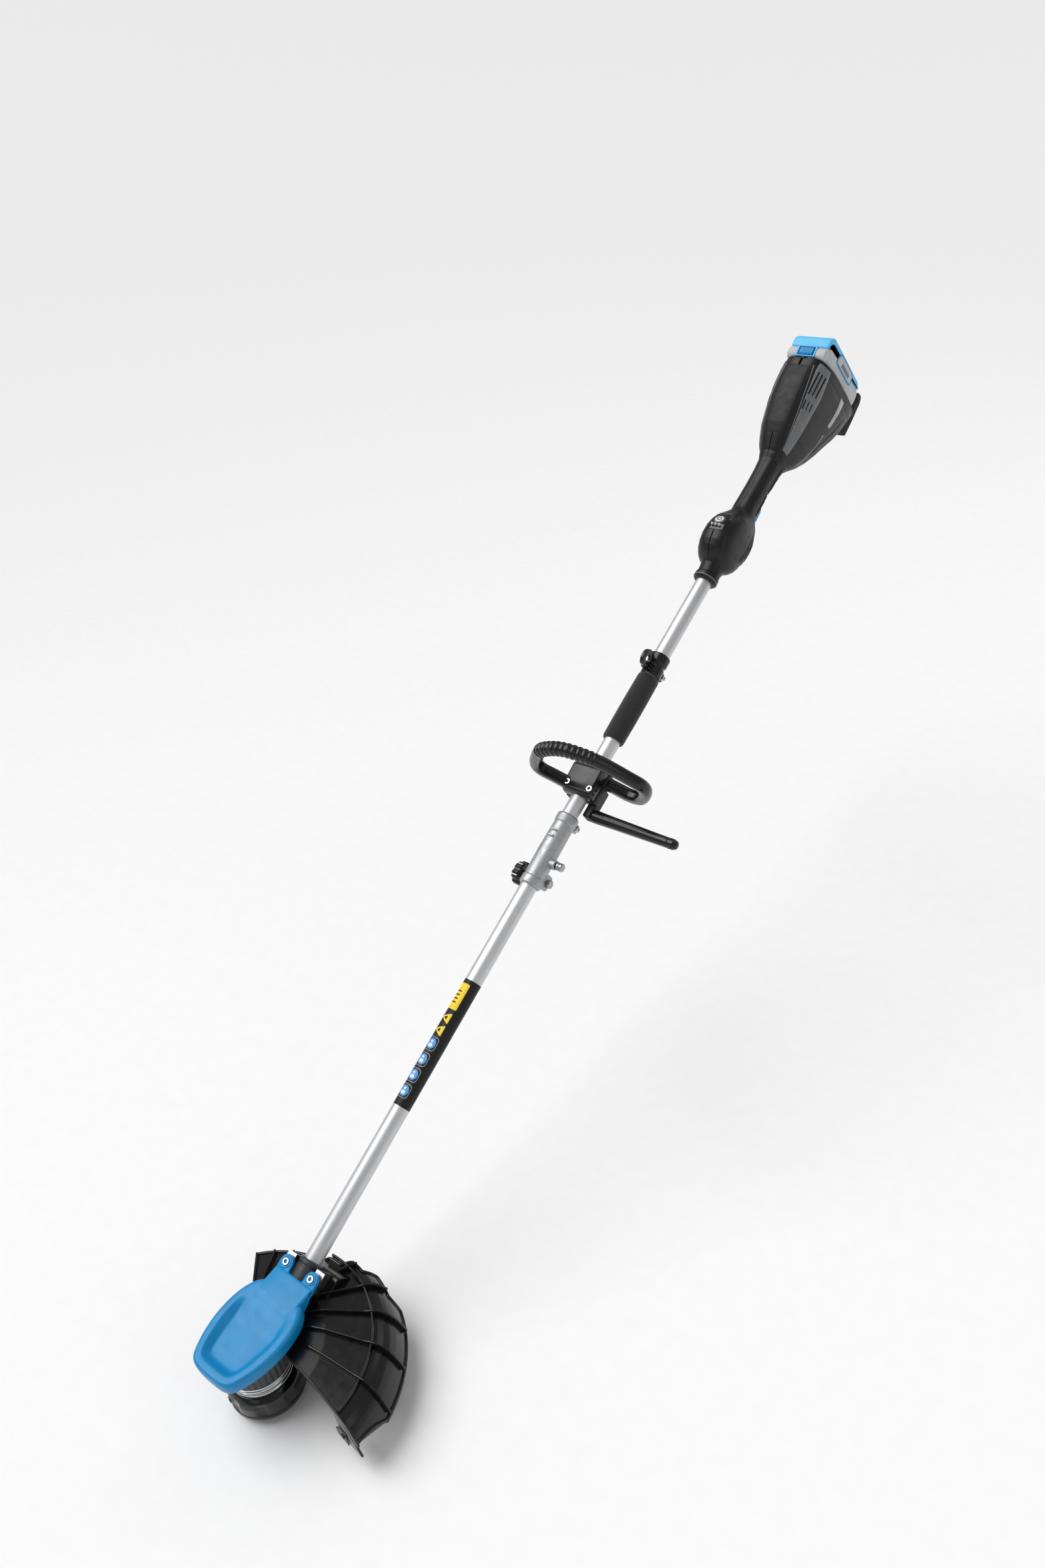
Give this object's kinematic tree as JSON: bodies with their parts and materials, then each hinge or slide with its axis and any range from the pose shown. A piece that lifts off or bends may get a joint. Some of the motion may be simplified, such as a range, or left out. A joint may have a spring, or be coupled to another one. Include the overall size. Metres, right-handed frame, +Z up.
{
  "type": "battery string trimmer",
  "caption": "Battery string trimmer with a bump-feed line head, ribbed guard, split straight shaft, loop handle with barrier bar, and rear grip with slide-on battery.",
  "frame": {"origin": "centre of the bump knob's flat foot, where the line head touches the ground", "axes": "+Z is up along the line head's spin axis, +Y runs level from the head back towards the user and the battery, +X is the user's left; the shaft rises towards +Y at 28 degrees"},
  "size_m": [0.3074, 1.6916, 0.9691],
  "materials": {
    "black_plastic": "fine moulded texture",
    "gloss_black": "high gloss",
    "grey_plastic": "satin moulded",
    "blue_plastic": "satin moulded",
    "pale_grey_plastic": "satin moulded",
    "light_blue_plastic": "satin moulded",
    "satin_aluminium": "satin anodised",
    "cast_aluminium": "as cast, grained",
    "dark_casting": "dark painted casting",
    "polished_steel": "polished",
    "plain_steel": "bright zinc",
    "foam_rubber": "closed-cell foam",
    "soft_rubber": "soft moulded",
    "copper_winding": "enamelled copper wire",
    "line_nylon": "extruded nylon line",
    "circuit_board": "solder-masked board"
  },
  "bodies": {
    "shaft_upper": {"upper_tube": "satin_aluminium", "upper_lead": "soft_rubber", "lead_socket": "black_plastic", "coupler_body": "cast_aluminium", "coupler_screw": "polished_steel", "foam_sleeve": "foam_rubber", "housing_left": "black_plastic", "housing_right": "black_plastic", "housing_collar": "black_plastic", "side_vent_left": "grey_plastic", "side_vent_right": "grey_plastic", "control_panel": "black_plastic", "grip_inlay_left": "soft_rubber", "grip_inlay_right": "soft_rubber", "trigger_switch": "black_plastic", "control_board": "circuit_board", "terminal_block": "black_plastic", "rear_foot": "soft_rubber"},
    "shaft_lower": {"lower_tube": "satin_aluminium", "lower_lead": "soft_rubber", "lead_plug": "black_plastic", "motor_housing": "dark_casting", "motor_stator": "copper_winding", "bearing_lower": "plain_steel", "bearing_upper": "plain_steel", "head_cover": "blue_plastic", "cover_screw_left": "polished_steel", "cover_screw_right": "polished_steel", "guard_bracket": "plain_steel", "guard": "black_plastic", "guard_screw_left": "plain_steel", "guard_screw_right": "plain_steel", "cutter_blade": "plain_steel"},
    "head": {"thrust_ring": "polished_steel", "spindle": "plain_steel", "motor_rotor": "plain_steel", "head_body": "gloss_black", "head_base": "gloss_black", "eyelet_front": "polished_steel", "eyelet_rear": "polished_steel", "bump_spring": "plain_steel"},
    "bump": {"bump_knob": "black_plastic"},
    "spool": {"spool": "grey_plastic", "wound_line": "line_nylon"},
    "lock_pin": {"lock_pin": "plain_steel"},
    "clamp_knob": {"clamp_knob": "black_plastic", "clamp_bolt": "plain_steel"},
    "loop": {"loop_handle": "black_plastic", "handle_clamp": "black_plastic", "handle_screw_left": "polished_steel", "handle_screw_right": "polished_steel", "barrier_bar": "black_plastic"},
    "strap": {"strap_eye": "black_plastic", "strap_screw": "polished_steel"},
    "power_button": {"power_button": "grey_plastic"},
    "trigger": {"trigger": "blue_plastic"},
    "lock_off": {"lock_off": "blue_plastic"},
    "battery": {"battery_case": "pale_grey_plastic", "battery_lid": "light_blue_plastic"},
    "battery_latch": {"battery_latch": "blue_plastic"}
  },
  "joints": [
    {"name": "head_spin", "type": "hinge", "parent": "shaft_lower", "child": "head", "pos_m": [0, 0, 0.058], "axis": [0, 0, 1], "continuous": true},
    {"name": "bump_feed", "type": "slide", "parent": "head", "child": "bump", "axis": [0, 0, 1], "range_m": [0, 0.006], "stiffness_N_per_m": 2500, "springref_m": -0.004, "deforming": ["bump_spring"]},
    {"name": "spool_index", "type": "hinge", "parent": "bump", "child": "spool", "pos_m": [0, 0, 0.0335], "axis": [0, 0, 1], "continuous": true},
    {"name": "shaft_split", "type": "slide", "parent": "shaft_upper", "child": "shaft_lower", "axis": [0, -0.8829, -0.4695], "range_m": [0, 0.1]},
    {"name": "lock_pin_pull", "type": "slide", "parent": "shaft_upper", "child": "lock_pin", "axis": [1, 0, 0], "range_m": [0, 0.005], "stiffness_N_per_m": 1500, "springref_m": -0.005},
    {"name": "clamp_knob_turn", "type": "hinge", "parent": "shaft_upper", "child": "clamp_knob", "pos_m": [-0.03, 0.68137, 0.41337], "axis": [1, 0, 0], "range_deg": [0, 540]},
    {"name": "handle_slide", "type": "slide", "parent": "shaft_upper", "child": "loop", "axis": [0, 0.8829, 0.4695], "range_m": [0, 0.04]},
    {"name": "strap_slide", "type": "slide", "parent": "shaft_upper", "child": "strap", "axis": [0, 0.8829, 0.4695], "range_m": [0, 0.14]},
    {"name": "power_button_press", "type": "slide", "parent": "shaft_upper", "child": "power_button", "axis": [0, 0.1382, -0.9904], "range_m": [0, 0.0015], "stiffness_N_per_m": 1200, "springref_m": -0.0015},
    {"name": "trigger_pull", "type": "hinge", "parent": "shaft_upper", "child": "trigger", "pos_m": [0, 1.31946, 0.76398], "axis": [-1, 0, 0], "range_deg": [0, 8], "stiffness_Nm_per_rad": 2, "springref_deg": -8.59},
    {"name": "lock_off_press", "type": "slide", "parent": "shaft_upper", "child": "lock_off", "axis": [0, -0.4695, 0.8829], "range_m": [0, 0.003], "stiffness_N_per_m": 900, "springref_m": -0.003},
    {"name": "battery_slide", "type": "slide", "parent": "shaft_upper", "child": "battery", "axis": [0, -0.6108, 0.7918], "range_m": [0, 0.12]},
    {"name": "battery_latch_press", "type": "slide", "parent": "battery", "child": "battery_latch", "axis": [0, 0.6108, -0.7918], "range_m": [0, 0.003], "stiffness_N_per_m": 1500, "springref_m": -0.002}
  ]
}
